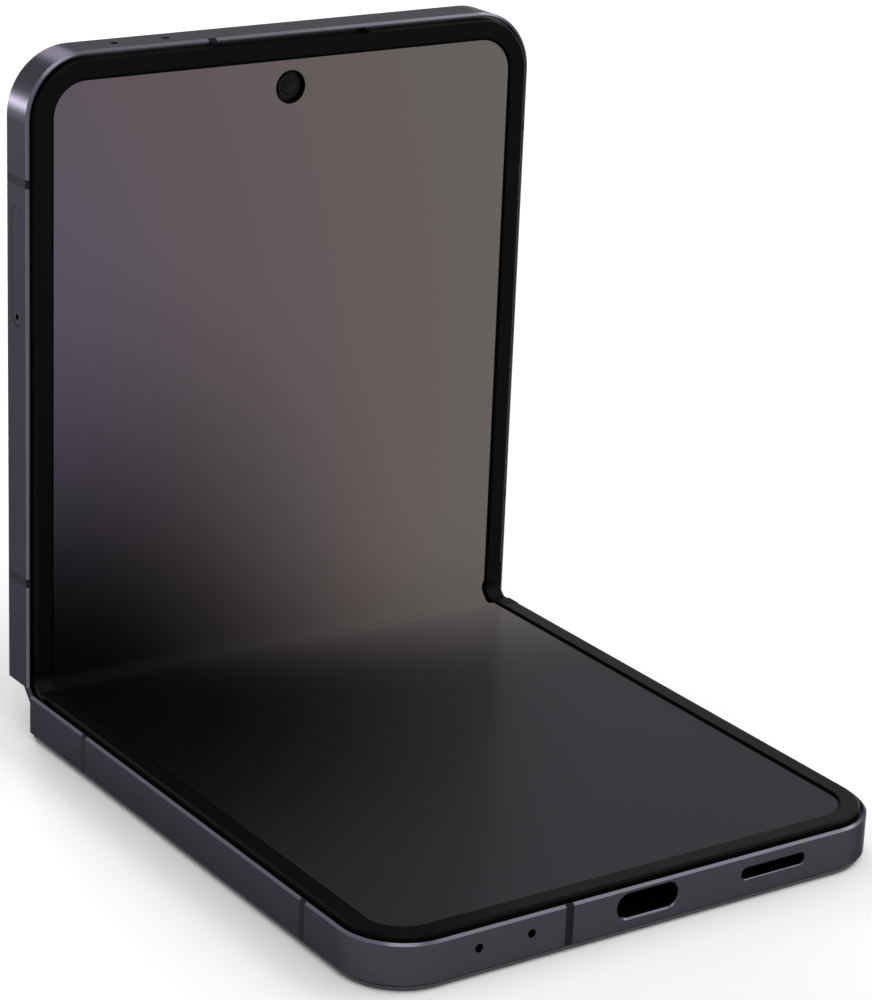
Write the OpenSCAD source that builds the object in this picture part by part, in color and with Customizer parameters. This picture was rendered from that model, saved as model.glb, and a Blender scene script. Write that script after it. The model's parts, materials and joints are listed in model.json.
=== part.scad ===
// Foldable clamshell phone, drawn standing open on its lower half.
// Both halves are drawn flat in half coordinates: x across, y away from the fold line,
// z = 0 on the inner metal face and negative towards the back glass.

/* [Body] */
// Width across the hinge
body_w = 75.2; // [66:0.2:84]
// Length of one half from the fold line to its far end
half_l = 83.35; // [78:0.05:95]
// Thickness of one half from the inner metal face to the back glass
half_t = 6.5; // [6.5:0.1:9]
// Radius of the outer corners seen from the front
corner_r = 8.3; // [7.5:0.1:12]
// Opening angle between the two display faces at rest
open_angle = 90; // [70:1:120]

/* [Frame] */
// Height of the metal side, without the back glass
side_h = 5.8; // [5.8:0.1:8]
// Thickness of the frame's side wall
wall_t = 2.2; // [1.8:0.1:3]
// Chamfer along both long edges of the frame
edge_chamfer = 0.3; // [0.1:0.05:0.35]
// Width of the metal rim beside the trim
rim_w = 0.45; // [0.4:0.05:0.5]
// How far the metal rim lies below the inner metal face that carries the trim
rim_drop = 0.35; // [0:0.05:0.4]
// Gap left between each half's metal end and the fold line
fold_gap = 0.2; // [0.1:0.05:0.4]
// Rounding of the frame's ends at the fold
end_r = 0.55; // [0.3:0.05:0.9]
// Thickness of the plate that carries the display
mid_t = 0.8; // [0.6:0.1:1.2]
// Length of the solid hinge bay beside the fold
bay_l = 13.6; // [13.4:0.1:16]
// Width of the plastic antenna bands
band_w = 1.15; // [0.8:0.05:1.6]
// Distance of the side bands from the fold line, near and far
band_near = 14.7; // [14.2:0.1:20]
band_far = 67.3; // [66:0.1:68.5]
// Distance of the end band from the centre line
band_x = 11.4; // [10.5:0.1:12.6]

/* [Display] */
// Thickness of the folding display
disp_t = 0.6; // [0.4:0.05:0.7]
// Thickness of the steel plates behind the display
plate_t = 0.3; // [0.2:0.05:0.4]
// Distance of the trim's outer edge from the side of the frame
trim_in = 0.85; // [0.8:0.05:1.2]
// Width of the trim around the display
trim_w = 2.4; // [1.8:0.05:2.6]
// Height of the trim above the metal face
trim_h = 0.3; // [0.15:0.05:0.3]
// Distance from the fold line at which the trims end
trim_end = 4.6; // [4.5:0.1:5.2]
// Length of display on each side of the fold that bends
bend_l = 2.6; // [2.4:0.1:4.4]
// Radius of the opening for the front camera
punch_r = 2.0; // [1.6:0.1:2.4]
// Distance of the front camera from the far end
punch_in = 7.15; // [6.8:0.05:8]

/* [Hinge] */
// Half the distance between the two folding axes
axis_y = 0.3; // [0.25:0.05:0.4]
// Height of the folding axes above the inner metal face
axis_z = 0.05; // [0:0.01:0.1]
// Depth of the spine cover below the inner metal face
spine_d = 3.75; // [3.75:0.05:3.9]
// Distance of the spine's corner centres from the fold line
spine_y = 2.9; // [2.85:0.05:2.95]
// Outer radius of the spine's long corners
spine_r = 2.2; // [2.15:0.05:2.25]
// Wall of the spine cover
spine_wall = 0.45; // [0.4:0.05:0.45]
// Distance of the spine's ends from the sides of the frame
spine_in = 1.35; // [1.3:0.05:2]
// Running clearance between the spine and the hinge bay
bay_gap = 0.15; // [0.1:0.05:0.2]
// Sliding clearance of the rotators in their arc tracks
track_gap = 0.04; // [0.03:0.01:0.05]
// Inner and outer radius of the rotators' arc tongues
tongue_r1 = 2.2; // [2.15:0.05:2.3]
tongue_r2 = 2.85; // [2.75:0.05:2.9]
// Width of one rotator
rotator_w = 4.6; // [3:0.1:5]
// Length of a rotator's flange from the fold line
flange_l = 10.8; // [9:0.1:11]

/* [Gears] */
// Number of teeth on each timing gear
teeth = 10; // [10:2:10]
// Module of the timing gears
gear_m = 0.2; // [0.19:0.005:0.2]
// Pressure angle of the teeth
pressure = 25; // [24:0.5:26]
// Width of the gear faces
gear_w = 4; // [2:0.1:5]
// Half angle taken off each tooth for backlash
backlash = 1.2; // [0.8:0.1:1.6]
// Depth of the gear shafts below the inner metal face
shaft_z = 2.08; // [2.06:0.01:2.09]
// Radius of the gear shafts
shaft_r = 0.38; // [0.3:0.01:0.42]
// Half width of the timing arms
arm_hw = 7; // [5:0.1:8]
// Thickness of the timing arms
arm_t = 0.45; // [0.35:0.01:0.47]
// Distance of the slide pins from the fold line when flat
pin_y = 10.9; // [10.7:0.1:11.2]
// Radius of the slide pins
pin_r = 0.3; // [0.25:0.01:0.32]

/* [Ports and keys] */
// Width and height of the charging port's opening
port_w = 8.9; // [8.8:0.1:9.4]
port_h = 3.1; // [2.7:0.1:3.2]
// Depth of the ports and microphones below the inner face
port_z = 2.7; // [2.6:0.05:2.9]
// Length and height of the loudspeaker slot
slot_w = 9.7; // [8:0.1:11]
slot_h = 1.5; // [1:0.1:1.8]
// Distance of the loudspeaker slot's middle from the side
slot_side = 18.85; // [17.6:0.05:20.6]
// Radius of the microphone holes
mic_r = 0.55; // [0.4:0.05:0.7]
// Distance of the two microphones from the side
mic_side1 = 13.6; // [12:0.1:15]
mic_side2 = 20.9; // [19.5:0.1:21.5]
// Length and height of the card tray's face
tray_w = 15.4; // [15:0.1:16.5]
tray_h = 2.6; // [2.4:0.1:2.7]
// Distance of the card tray from the fold line
tray_y = 56.3; // [55.5:0.1:57]
// Radius of the eject hole in the tray's face
eject_r = 0.4; // [0.35:0.01:0.5]
// Length of the power key
power_w = 11; // [9:0.1:13]
// Distance of the power key from the fold line
power_y = 38; // [36:0.1:40]
// Length of the volume key
volume_w = 20.5; // [17:0.1:22]
// Distance of the volume key from the fold line
volume_y = 55.6; // [55:0.1:56]
// Height of the keys
key_h = 2.3; // [1.8:0.1:2.5]
// How far the keys stand out of the frame
key_out = 0.35; // [0.2:0.05:0.5]
// Travel of the keys
key_travel = 0.25; // [0.15:0.05:0.3]

/* [Cameras] */
// Radius of the rear camera rings
cam_r = 6.2; // [5.4:0.1:6.5]
// Distance between the rear cameras
cam_pitch = 14.8; // [13.6:0.1:15.2]
// Distance of the outer rear camera from the side
cam_side = 12; // [11.2:0.1:12.6]
// Distance of the rear cameras from the far end
cam_in = 11.6; // [11.4:0.1:12.5]
// How far the camera rings stand out of the back glass
cam_out = 0.9; // [0.5:0.1:1.2]

/* [Hidden] */
$fn = 48;
// Half turn of each body between flat and rest
fold = (180 - open_angle) / 2;
half_w = body_w / 2;
glass_t = half_t - side_h;
mid_top = disp_t + plate_t;
mid_low = mid_top + mid_t;
// Offset of the upper half's fold line from the lower half's
fold_shift = 2 * (axis_y * (1 - cos(fold)) + axis_z * sin(fold));
// Rearmost reach of the upper half, on the camera rings
rear_y = fold_shift * cos(fold) + (half_t + cam_out) * sin(2 * fold)
    + (half_l - cam_in + cam_r) * max(0, cos(2 * fold));
base_y = (half_l - rear_y) / 2;
base_x = -key_out / 2;

// Antenna bands
band_depth = 1.2;

// Display and trim
disp_in = trim_in + 0.5;
skirt_w = 0.45;
relief_z = 2.45;
relief_in = trim_in;
guard_t = 0.25;
guard_rise = 0.35;
guard_gap = 0.02;
slot_half = 11.7;

// Spine
spine_half = half_w - spine_in;
spine_cz = spine_d - spine_r;
spine_edge = 2.2;
floor_z = spine_d - spine_wall;
bay_r = sqrt(pow(spine_y - axis_y, 2) + pow(spine_cz + axis_z, 2)) + spine_r + bay_gap;
deck_z = 0.95;

// Hinge modules: first track carries the lower half, second the upper half
track_wall = 0.8;
base_in = spine_half - 0.9 - 2 * rotator_w - 3 * track_wall;
track_x = [base_in + track_wall, base_in + 2 * track_wall + rotator_w];
tongue_a = 66;
tongue_b = 150;
flange_top = 1.55;
flange_low = 2.1;
bolt_r = 0.6;
bolt_s = flange_l - 2.2;

// Gear train
gear_r = gear_m * teeth / 2;
gear_out = gear_r + 0.8 * gear_m;
gear_in = gear_r - 1.05 * gear_m;
gear_y = [-3 * gear_r, -gear_r, gear_r, 3 * gear_r];
hub_r = 0.75;
arm_low = -0.02;
pin_dz = arm_low + arm_t / 2;
cheek_t = 1.3;
rail_hw = arm_hw + 0.25 + cheek_t;
rail_s = [bay_r - 0.1, pin_y + 1.1];
rail_floor = 3.85;
rail_base = 0.4;
bracket_x = [arm_hw + 1, arm_hw + 2];
bridge_hw = 2.2 * gear_r;
bridge_low = -0.88;
bridge_top = -0.66;

// Rooms behind the mid plate
room_s = bay_l + 0.4;
rib_hw = half_w - wall_t - 2.2;
rib_t = 1;
board_z = port_z + port_h / 2 + 0.15;
board_t = 0.8;
port_depth = 7.2;
shell_t = 0.25;
// Chamfer round the port's opening, and half of it round the loudspeaker slot
lip = 0.2;
slot_x = half_w - slot_side;
speaker_w = 18;
speaker_in = 7.6;
mic_x1 = half_w - mic_side1;
mic_x2 = half_w - mic_side2;
mic_w = 3.2;
mic_h = 1.9;
mic_t = 1.25;
motor_r = 4;
motor_t = 1.3;
motor_x = mic_x1 + mic_w / 2 + 0.3 + motor_r;
magnet_t = 1.6;
magnet_l = 12;
tab_w = 18;
tab_t = 0.8;
lower_cell_l = 50;
upper_cell_l = 31;
shelf = -mid_low;
cam_x = half_w - cam_side;
cams = [cam_x, cam_x - cam_pitch];
module_hw = cam_r - 1.5;
barrel_r = cam_r - 2.6;
front_cam_r = punch_r + 0.6;
ear_w = 10;
ear_t = 1.9;
flash_x = cam_x - 1.65 * cam_pitch;
flash_r = 1.5;
cam_hole = cam_r - 0.65;
lower_board_s = room_s + lower_cell_l + 1.8;
upper_board_s = room_s + upper_cell_l + 1.8;
board_end = half_l - wall_t - 0.2;

// Keys and card tray
key_z = 2.95;
key_gap = 0.08;
tray_low = tray_y - 5.2;
tray_board = 12.5;
tray_depth = 17;
tray_t = 0.95;
tray_face = 1.1;
eject_s = tray_y - tray_w / 2 + 1.1;

// Disc springs
disc_t = 0.16;
disc_cone = 0.2;
disc_pitch = 2 * (disc_t + disc_cone + 0.01);
disc_r = 0.88;

METAL = [0.25, 0.245, 0.275];
BLACK = [0.05, 0.05, 0.055];
SCREEN = [0.33, 0.31, 0.32];

// Places: both halves are drawn with y running away from the fold
module in_lower_frame() translate([base_x, base_y, half_t]) children();
module in_spine() in_lower_frame() translate([0, -axis_y, axis_z]) rotate([fold, 0, 0])
    translate([0, axis_y, -axis_z]) children();
module in_lower() in_lower_frame() mirror([0, 1, 0]) children();
module in_upper() in_spine() translate([0, axis_y, axis_z]) rotate([fold, 0, 0])
    translate([0, -axis_y, -axis_z]) children();

module in_upper_frame() in_upper() mirror([0, 1, 0]) children();

// A profile of y and z drawn out along x
module along_x(x0, x1) translate([x0, 0, 0]) rotate([90, 0, 90]) linear_extrude(x1 - x0)
    children();

// The same body on the left and the right
module both_sides() {
    children();
    mirror([1, 0, 0]) children();
}

// Outline of one half, a given distance inside its edge
module plan(inset, from) {
    w = half_w - inset;
    r = corner_r - inset;
    far = half_l - inset;
    translate([-w, from]) square([2 * w, far - r - from]);
    translate([r - w, far - r - 1]) square([2 * (w - r), r + 1]);
    for (side = [-1, 1]) translate([side * (w - r), far - r]) circle(r);
}

module slab(low, high, inset, from) translate([0, 0, low]) linear_extrude(high - low)
    plan(inset, from);

// A profile swept round the three free sides; its x runs outwards from the corner centres
module rim(from) {
    cw = half_w - corner_r;
    cl = half_l - corner_r;
    both_sides() {
        translate([cw, cl, 0]) rotate([90, 0, 0]) linear_extrude(cl - from) children();
        translate([cw, cl, 0]) rotate_extrude(angle = 90) children();
    }
    translate([-cw, cl, 0]) rotate([90, 0, 90]) linear_extrude(2 * cw) children();
}

// A stadium-shaped body; the profile's x runs outwards from its middle line, y along z
module pill(len, h) {
    c = (len - h) / 2;
    for (side = [-1, 1]) translate([side * c, 0, 0]) rotate_extrude() children();
    translate([-c, 0, 0]) rotate([90, 0, 90]) linear_extrude(2 * c) {
        children();
        mirror([1, 0]) children();
    }
}

// A plain pill-shaped hole or body between two depths
module pill_cut(len, h, low, high) pill(len, h)
    translate([0, low]) square([h / 2, high - low]);

// Small chamfer round a pill-shaped opening whose face is at z = 0
module lip_cut(len, h, c) pill(len, h)
    polygon([[0, -c], [h / 2, -c], [h / 2 + c, 0], [h / 2 + c, 1], [0, 1]]);

// Turns a pill to face +x at the side wall, or +y at the far wall
module on_side(s, z) translate([half_w, s, z]) rotate([90, 0, 90]) children();
module on_end(x, z) translate([x, half_l, z]) rotate([90, 0, 0]) mirror([0, 0, 1]) children();

// Side wall of the frame: chamfered edges, a rim and a ledge for the display and its trim
module wall_profile(depth) {
    r = corner_r;
    c = edge_chamfer;
    top = -rim_drop;
    polygon([
        [r - depth, -side_h], [r - c, -side_h], [r, c - side_h], [r, top - c], [r - c, top],
        [r - rim_w, top], [r - rim_w, -mid_top], [r - depth, -mid_top]
    ]);
}

// Rounding cut along x at a corner of the frame's fold end
module end_cut(z, up, r) along_x(-half_w - 1, half_w + 1) difference() {
    translate([fold_gap - 1, up > 0 ? z - r : z - 1]) square([1 + r, 1 + r]);
    translate([fold_gap + r, z - up * r]) circle(r);
}

// Places where the plastic bands cross the metal, on one half
module band_cuts(depth, grow) {
    both_sides() for (s = [band_near, band_far])
        translate([half_w - depth, s - band_w / 2, -side_h - grow])
            cube([depth + grow, band_w, side_h + 2 * grow]);
    translate([-band_x - band_w / 2, half_l - depth, -side_h - grow])
        cube([band_w, depth + grow, side_h + 2 * grow]);
}

module bands() intersection() {
    rim(fold_gap) wall_profile(band_depth);
    band_cuts(band_depth, 1);
}

// Sweep of the spine inside the hinge bay, and the room above it for the folding display
module bay_cut() {
    translate([-spine_half - 0.4, axis_y, axis_z]) rotate([0, 90, 0])
        cylinder(r = bay_r, h = 2 * spine_half + 0.8, $fn = 96);
    translate([relief_in - half_w, -1, -relief_z])
        cube([2 * (half_w - relief_in), trim_end + 1.1, relief_z + 1]);
}

// Pockets for the flanges of one half's rotators, with their screw holes
module flange_cut(track) both_sides() {
    translate([track_x[track] - 0.15, -1, -flange_low])
        cube([rotator_w + 0.3, flange_l + 1.15, flange_low + 1]);
    translate([track_x[track] + rotator_w / 2, bolt_s, -side_h + 0.8])
        cylinder(r = bolt_r + 0.05, h = side_h);
}

// Frame of one half, before its own ports and keys
module frame_body(track, room_end) difference() {
    union() {
        rim(fold_gap) wall_profile(wall_t);
        slab(-mid_low, -mid_top, wall_t - 0.1, fold_gap);
        translate([-half_w + wall_t - 0.1, fold_gap, -side_h])
            cube([body_w - 2 * wall_t + 0.2, bay_l - fold_gap, side_h - mid_top]);
        translate([-rib_hw, room_end, -side_h + 0.4]) cube([2 * rib_hw, rib_t, side_h - 0.4 - mid_top]);
    }
    bay_cut();
    flange_cut(track);
    translate([-rail_hw - 0.1, -1, -rail_floor - rail_base])
        cube([2 * rail_hw + 0.2, rail_s[1] + 1.1, rail_floor + rail_base + 1]);
    end_cut(-side_h, -1, end_r);
    end_cut(-rim_drop, 1, end_r / 4);
    band_cuts(band_depth, 1);
}

// Back glass with its edges rounded towards the frame
module back_glass() {
    r = corner_r;
    e = glass_t - 0.15;
    slab(-half_t, -side_h, 2.9, fold_gap + 0.3);
    rim(fold_gap + 0.3) {
        translate([r - 3, -half_t]) square([3 - 0.35 - e, glass_t]);
        translate([r - 3, -half_t + e]) square([3 - 0.35, glass_t - e]);
        intersection() {
            translate([r - 0.35 - e, -half_t + e]) circle(e);
            translate([r - 0.35 - e, -half_t]) square([e, e]);
        }
    }
}

// Raised trim: a thin frame on the display's border with a skirt down to the frame's ledge
module trim_profile() {
    r = corner_r - trim_in;
    inner = 0.12;
    outer = 0.26;
    polygon([
        [r - trim_w, 0], [r - skirt_w, 0], [r - skirt_w, -mid_top], [r, -mid_top],
        [r, trim_h - outer], [r - outer, trim_h], [r - trim_w + inner, trim_h], [r - trim_w, trim_h - inner]
    ]);
}

module trim_body() rim(trim_end) trim_profile();

module display_flat() slab(-disp_t, 0, disp_in, bend_l);

// Steel plate behind a display half, with an etched lattice beside the fold
module support_plate() difference() {
    slab(-mid_top, -disp_t, disp_in + 0.1, trim_end + 0.4);
    for (x = [-13 : 13]) translate([x * 2.4 - 0.8, trim_end + 1.2, -mid_top - 1])
        cube([1.6, 0.5, 2]);
}

module lower_frame() color(METAL) in_lower() difference() {
    frame_body(0, room_s + lower_cell_l + 0.6);
    on_end(0, -port_z) pill_cut(port_w, port_h, -wall_t - 1, 1);
    on_end(0, -port_z) lip_cut(port_w, port_h, lip);
    on_end(0, -port_z) translate([-port_w / 2 - 0.15, 0, -wall_t - port_depth - 0.4])
        cube([port_w + 0.3, port_h / 2 + 0.1, port_depth + 0.5]);
    on_end(slot_x, -port_z) pill_cut(slot_w, slot_h, -wall_t - 1, 1);
    on_end(slot_x, -port_z) lip_cut(slot_w, slot_h, lip / 2);
    for (x = [mic_x1, mic_x2]) on_end(-x, -port_z)
        translate([0, 0, -wall_t - 1]) cylinder(r = mic_r, h = wall_t + 2);
}

module lower_bands() color([0.2, 0.2, 0.22]) in_lower() bands();
module lower_back_glass() color([0.16, 0.155, 0.18]) in_lower() back_glass();
module lower_trim() color(BLACK) in_lower() trim_body();
module lower_display() color(SCREEN) in_lower() display_flat();
module lower_support_plate() color("silver") in_lower() support_plate();

// Cell with rounded edges, glued under the mid plate
module battery(len) {
    w = 2 * (half_w - wall_t - 2);
    t = side_h - mid_low - 0.25;
    translate([-w / 2, room_s, shelf - t]) {
        translate([0, 1, 0]) cube([w, len - 1, t]);
        translate([(w - tab_w) / 2, 0, (t - tab_t) / 2]) cube([tab_w, 1, tab_t]);
    }
}

module lower_battery() color("dimgray") in_lower() battery(lower_cell_l);

// Board for the charging port, with the port's seat and a row of chips
module charging_board() color("darkgreen") in_lower() {
    w = half_w - corner_r;
    translate([-w, lower_board_s, -board_z - board_t])
        cube([2 * w, board_end - lower_board_s, board_t]);
    for (i = [0 : 3]) translate([-w + 3 + 5.4 * i, lower_board_s + 3, -board_z])
        cube([3.6, 3.2 + i % 2, 1.1]);
}

// Socket shell with its contact tongue
module charging_port() color("silver") in_lower() {
    face = wall_t + 0.1;
    back = face + port_depth;
    on_end(0, -port_z) {
        difference() {
            pill_cut(port_w, port_h, -back, -face);
            pill_cut(port_w - 2 * shell_t, port_h - 2 * shell_t, -back + 0.4, -face + 1);
        }
        translate([-port_w * 0.37, -0.35, -back + 0.3]) cube([port_w * 0.74, 0.7, port_depth - 1.3]);
    }
    for (x = [-port_w / 2 + 1.8, port_w / 2 - 2.6])
        translate([x, board_end - 5, -board_z]) cube([0.8, 3, 0.2]);
}

// Loudspeaker box with the duct that ends behind the slot
module loudspeaker() color("black") in_lower() difference() {
    union() {
        translate([slot_x - speaker_in, lower_board_s, -board_z])
            cube([speaker_w, board_end - lower_board_s - 1.8, board_z + shelf]);
        translate([slot_x - slot_w / 2 - 0.8, board_end - 2, -port_z - slot_h / 2 - 0.4])
            cube([slot_w + 1.6, 2.1, slot_h + 0.6]);
    }
    translate([slot_x - slot_w / 2 + 0.4, board_end - 4, -port_z - slot_h / 2 + 0.1])
        cube([slot_w - 0.8, 5, slot_h - 0.2]);
}

module microphone(x) on_end(x, -port_z) translate([0, 0, -wall_t - mic_t - 0.05]) difference() {
    translate([-mic_w / 2, -mic_h / 2, 0]) cube([mic_w, mic_h, mic_t]);
    translate([0, 0, 0.4]) cylinder(r = mic_r * 0.7, h = 1);
}

module lower_microphones() color("silver") in_lower() for (x = [mic_x1, mic_x2]) microphone(-x);

// Flat coin motor under the mid plate
module vibration_motor() color("silver") in_lower()
    translate([-motor_x, lower_board_s + motor_r + 0.4, shelf - motor_t]) {
        cylinder(r = motor_r, h = motor_t);
        translate([0, 0, -0.2]) cylinder(r = 0.65 * motor_r, h = 0.3);
    }

// Bar magnets that hold the phone shut, in the walls' inner corners
module magnets() both_sides()
    translate([half_w - wall_t - magnet_t - 0.1, room_s + 4, shelf - magnet_t])
        cube([magnet_t, magnet_l, magnet_t]);

module lower_magnets() color("silver") in_lower() magnets();

function polar(a) = [-cos(a), -sin(a)];

// Hinge profiles are drawn flat with the lower half on the -y side
module ring_2d(inner, outer) difference() {
    circle(outer, $fn = 96);
    circle(inner, $fn = 96);
}

// Curved tongue and flange of a rotator: the tongue slides in an arc about the folding axis
module rotator_2d() {
    reach = 3 * tongue_r2;
    step = (tongue_b - tongue_a) / 2;
    root1 = tongue_r1 * polar(tongue_a + 1) + [-axis_y, axis_z];
    root2 = tongue_r2 * polar(tongue_a + 1) + [-axis_y, axis_z];
    translate([-axis_y, axis_z]) intersection() {
        ring_2d(tongue_r1, tongue_r2);
        polygon(concat([[0, 0]], [for (i = [0 : 2]) reach * polar(tongue_a + i * step)]));
    }
    polygon([
        root1, [-trim_end + 1.2, -flange_top - 0.07], [-trim_end, -flange_top], [-flange_l, -flange_top],
        [-flange_l, -flange_low], [-trim_end + 0.2, -flange_low], root2
    ]);
}

module rotators(track) both_sides() difference() {
    along_x(track_x[track], track_x[track] + rotator_w) rotator_2d();
    translate([track_x[track] + rotator_w / 2, -bolt_s, -flange_low - 1])
        cylinder(r = bolt_r + 0.05, h = 2);
}

// Screws that hold a half's two rotators to its frame
module hinge_screws(track) both_sides() translate([track_x[track] + rotator_w / 2, bolt_s, 0]) {
    translate([0, 0, -side_h + 1]) cylinder(r = bolt_r, h = side_h - 1 - flange_top);
    difference() {
        translate([0, 0, -flange_top]) cylinder(r = 1.15, h = 0.5);
        translate([0, 0, -flange_top + 0.25]) cylinder(r = 0.45, h = 1, $fn = 6);
    }
}

module lower_rotators() color("silver") in_lower_frame() rotators(0);
module lower_hinge_screws() color("gray") in_lower() hinge_screws(0);

// Arc slot that a timing arm's pin follows in its half: the arm keeps the half's angle,
// so every point of it runs on a circle as large as the shaft's distance from the folding axis
module pin_slot_2d() {
    g = [gear_y[0] + axis_y, -shaft_z - axis_z];
    reach = norm(g);
    start = atan2(g[1], g[0]);
    w = pin_r + track_gap;
    translate([-pin_y, pin_dz - shaft_z] - g) {
        intersection() {
            ring_2d(reach - w, reach + w);
            polygon(concat([[0, 0]],
                [for (i = [0 : 2]) 2 * reach * [cos(start + 45 * i), sin(start + 45 * i)]]));
        }
        for (a = [start, start + 90]) translate(reach * [cos(a), sin(a)]) circle(w);
    }
}

// Rail with two slotted cheeks, seated in the hinge bay
module rail() {
    both_sides() along_x(rail_hw - cheek_t, rail_hw) difference() {
        translate([-rail_s[1], -rail_floor]) square([rail_s[1] - rail_s[0], rail_floor - 1.15]);
        pin_slot_2d();
    }
    translate([-rail_hw, -rail_s[1], -rail_floor - rail_base])
        cube([2 * rail_hw, rail_s[1] - rail_s[0], rail_base]);
}

module lower_rail() color("silver") in_lower_frame() rail();

// Cross-section of the spine, a given distance inside its outer surface
module spine_2d(inset) {
    r = spine_r - inset;
    translate([-spine_y, -spine_cz - r]) square([2 * spine_y, r]);
    for (side = [-1, 1]) translate([side * spine_y, -spine_cz]) circle(r, $fn = 96);
}

module below(z) intersection() {
    children();
    translate([-2 * spine_d, z - 4 * spine_d]) square(4 * spine_d);
}

// Outer cover of the hinge, seen on the back when the phone folds
module spine_cover() color(METAL) in_spine() {
    along_x(-spine_half, spine_half) below(-spine_edge) difference() {
        spine_2d(0);
        spine_2d(spine_wall);
    }
    both_sides() along_x(spine_half - 0.5, spine_half) below(-spine_edge) spine_2d(spine_wall / 2);
}

// Part of the spine's section that a block on its floor fills
module block_2d() {
    w = spine_y + spine_r - spine_wall - 0.05;
    translate([-spine_y + 0.1, -floor_z]) square([2 * spine_y - 0.2, floor_z - deck_z]);
    below(-spine_cz) spine_2d(spine_wall + 0.05);
    translate([-w, -spine_cz]) square([2 * w, spine_cz - deck_z]);
}

// Arc track about the lower half's axis, open where the rotator's arm swings out
module track_2d() {
    root = tongue_r2 * polar(tongue_a) + [-axis_y, axis_z];
    difference() {
        union() {
            translate([-axis_y, axis_z]) circle(tongue_r2 + track_gap, $fn = 96);
            polygon([
                root - [0, 0.1], [-trim_end + 0.2, -flange_low - 0.12], [-2 * trim_end, -flange_low - 0.12],
                [-2 * trim_end, 1], [-axis_y, 1]
            ]);
        }
        translate([-axis_y, axis_z]) circle(tongue_r1 - track_gap, $fn = 96);
    }
}

// Hinge base with an arc track for each half's rotator, side by side
module hinge_base() along_x(base_in, track_x[1] + rotator_w + track_wall) block_2d();

module base_with_tracks() difference() {
    hinge_base();
    along_x(track_x[0] - track_gap, track_x[0] + rotator_w + track_gap) track_2d();
    mirror([0, 1, 0]) along_x(track_x[1] - track_gap, track_x[1] + rotator_w + track_gap) track_2d();
}

module right_hinge_base() color("gray") in_spine() base_with_tracks();
module left_hinge_base() color("gray") in_spine() mirror([1, 0, 0]) base_with_tracks();

// End plates and bridge that carry the gear shafts
module gear_bracket() color("gray") in_spine() difference() {
    union() {
        both_sides() along_x(bracket_x[0], bracket_x[1]) {
            block_2d();
            translate([-bridge_hw, -deck_z - 0.1]) square([2 * bridge_hw, bridge_top - bridge_low]);
        }
        translate([-bracket_x[1], -bridge_hw, bridge_low])
            cube([2 * bracket_x[1], 2 * bridge_hw, bridge_top - bridge_low]);
    }
    for (y = gear_y) translate([-bracket_x[1] - 1, y, -shaft_z]) rotate([0, 90, 0])
        cylinder(r = shaft_r + 0.01, h = 2 * bracket_x[1] + 2);
}

module gear_shafts() color("silver") in_spine() for (y = gear_y)
    translate([-bracket_x[1], y, -shaft_z]) rotate([0, 90, 0])
        cylinder(r = shaft_r, h = 2 * bracket_x[1]);

// Involute gear tooth: angle of the flank from the tooth's middle at radius r
base_r = gear_r * cos(pressure);
function inv(a) = tan(a) * 180 / PI - a;
function flank(r) = 90 / teeth - backlash + inv(pressure) - inv(acos(min(1, base_r / r)));
flank_steps = 4;
flank_r = [for (i = [0 : flank_steps]) base_r + (gear_out - base_r) * i / flank_steps];

module gear_2d(turn) polygon([
    for (t = [0 : teeth - 1], k = [0 : 2 * flank_steps + 3])
        let(
            root = k == 0 || k == 2 * flank_steps + 3,
            i = k <= flank_steps + 1 ? k - 1 : 2 * flank_steps + 2 - k,
            r = root ? gear_in : flank_r[i],
            a = root ? flank(base_r) : flank(flank_r[i]),
            b = turn + t * 360 / teeth + (k <= flank_steps + 1 ? -a : a)
        )
        r * [cos(b), sin(b)]
]);

module bored_gear(turn) difference() {
    along_x(-gear_w / 2, gear_w / 2) gear_2d(turn);
    rotate([0, 90, 0]) cylinder(r = shaft_r + 0.03, h = 4 * arm_hw, center = true);
}

// Timing arm about its own shaft: gear, hub, plate and slide pin. Neighbours in the train
// alternate between a tooth and a gap on the line of shafts
module timing_arm(turn) difference() {
    reach = pin_y + gear_y[0];
    union() {
        along_x(-gear_w / 2, gear_w / 2) gear_2d(turn);
        both_sides() {
            translate([gear_w / 2 - 0.1, 0, 0]) rotate([0, 90, 0])
                cylinder(r = hub_r, h = arm_hw - gear_w / 2 + 0.1);
            translate([gear_w / 2 + 0.35, -reach - 0.6, arm_low])
                cube([arm_hw - gear_w / 2 - 0.35, reach + 0.6, arm_t]);
        }
        translate([-arm_hw, -reach - 0.6, arm_low]) cube([2 * arm_hw, reach - 1.6 * gear_out, arm_t]);
        translate([-rail_hw + 0.05, -reach, pin_dz]) rotate([0, 90, 0])
            cylinder(r = pin_r, h = 2 * rail_hw - 0.1);
    }
    rotate([0, 90, 0]) cylinder(r = shaft_r + 0.03, h = 4 * arm_hw, center = true);
}

// A gear on shaft n, turned with the fold
module on_shaft(n, way) in_spine() translate([0, gear_y[n], -shaft_z])
    rotate([way * fold, 0, 0]) children();

module lower_timing_arm() color("goldenrod") on_shaft(0, -1) timing_arm(0);
module lower_idler() color("gold") on_shaft(1, 1) bored_gear(180 / teeth);
module upper_idler() color("gold") on_shaft(2, -1) bored_gear(0);
module upper_timing_arm() color("goldenrod") on_shaft(3, 1) mirror([0, 1, 0])
    timing_arm(180 / teeth);

// Cone-shaped springs on the idlers' shafts, whose squeeze holds the phone at any angle
module disc() rotate_extrude() polygon([
    [shaft_r + 0.05, 0], [shaft_r + 0.05, disc_t], [disc_r, disc_t + disc_cone], [disc_r, disc_cone]
]);

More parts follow.
